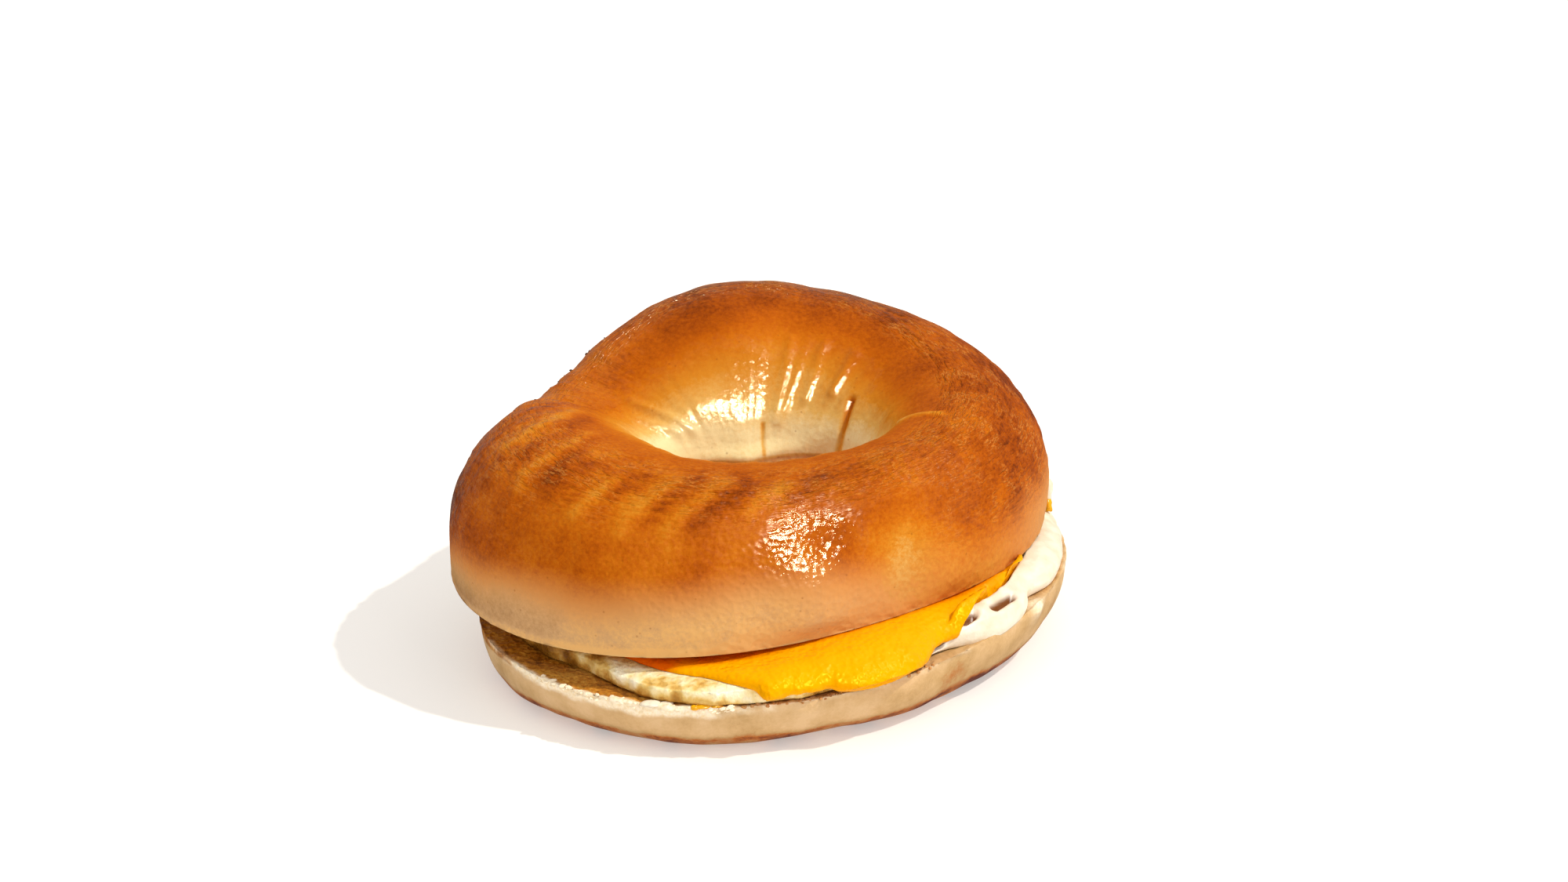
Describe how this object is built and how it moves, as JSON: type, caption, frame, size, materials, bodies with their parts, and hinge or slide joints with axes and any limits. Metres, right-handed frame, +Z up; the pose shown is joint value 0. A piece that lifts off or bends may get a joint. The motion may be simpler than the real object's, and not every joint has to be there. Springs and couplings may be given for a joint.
{
  "type": "filled bagel",
  "caption": "Whole plain bagel sliced through and filled with soft white spread, cooked egg and melted cheese, lying on its bottom slice.",
  "frame": {"origin": "bottom centre of the bounding box, on the surface that the bagel rests on", "axes": "+Z up through the hole, -Y towards the front where the egg and cheese show, +X to the right of that view"},
  "size_m": [0.1123, 0.1091, 0.0532],
  "materials": {
    "crust": "glossy baked crust, orange brown, paler towards the cut and in the hole",
    "crumb": "pale tan crust with a toasted cut face, matte",
    "spread": "soft off-white, smooth",
    "egg": "pale yellow mottled with white, moist",
    "cheese": "melted, smooth and slightly wet"
  },
  "bodies": {
    "root": {"bagel_bottom": "crumb", "spread": "spread", "egg": "egg", "cheese": "cheese", "bagel_top": "crust"}
  },
  "joints": []
}
